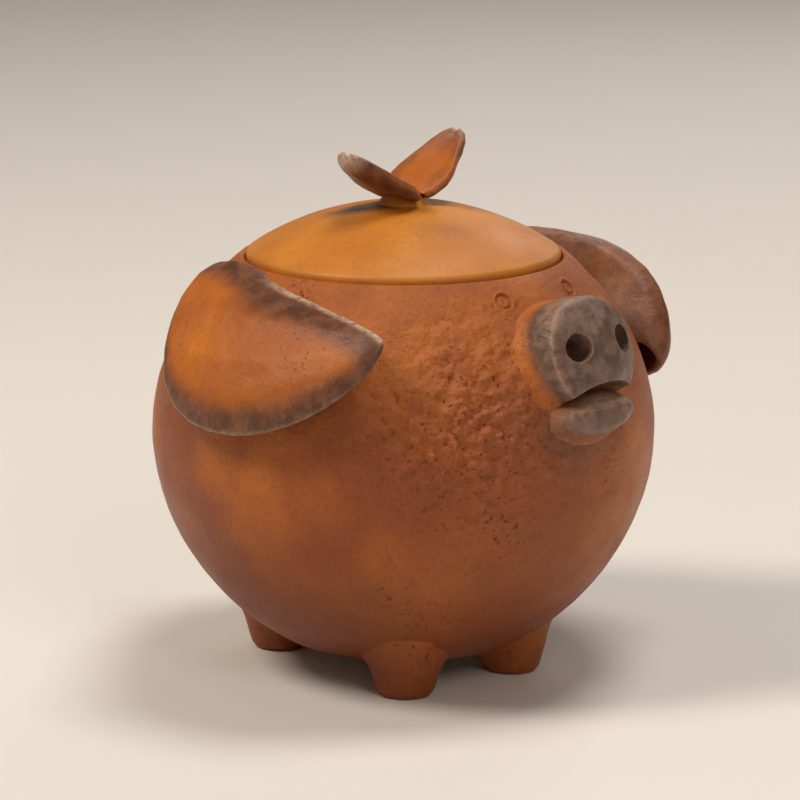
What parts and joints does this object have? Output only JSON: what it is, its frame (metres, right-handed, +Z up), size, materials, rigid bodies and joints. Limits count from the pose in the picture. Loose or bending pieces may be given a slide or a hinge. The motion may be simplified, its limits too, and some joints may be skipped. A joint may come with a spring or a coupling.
{
  "type": "lidded jar",
  "caption": "Round clay jar shaped like a pig, with luted ears, snout, feet and tail, and a flush lid that lifts off by a two-leaf sprout.",
  "frame": {"origin": "on the table, under the middle of the jar's outline box", "axes": "+Z up, the pig faces -Y, its right side is -X; the lid lifts along +Z"},
  "size_m": [0.1232, 0.1235, 0.1185],
  "materials": {
    "pot_clay": "matte, unglazed, wood-fired orange brown",
    "lid_clay": "matte, unglazed, lighter orange",
    "ear_clay": "matte, unglazed, with smoke-darkened rims",
    "smoked_clay": "brushed, smoke-darkened grey brown"
  },
  "bodies": {
    "pot": {"pot_body": "pot_clay", "pot_shoulder": "pot_clay", "ear_left": "ear_clay", "ear_right": "ear_clay", "snout": "smoked_clay", "lower_lip": "smoked_clay", "foot_front_left": "pot_clay", "foot_front_right": "pot_clay", "foot_rear_left": "pot_clay", "foot_rear_right": "pot_clay", "tail": "pot_clay"},
    "lid": {"lid": "lid_clay", "lid_flange": "lid_clay", "sprout_stem": "lid_clay", "leaf_left": "ear_clay", "leaf_right": "ear_clay"}
  },
  "joints": [
    {"name": "lid_lift", "type": "slide", "parent": "pot", "child": "lid", "axis": [0, 0, 1], "range_m": [0, 0.06]}
  ]
}
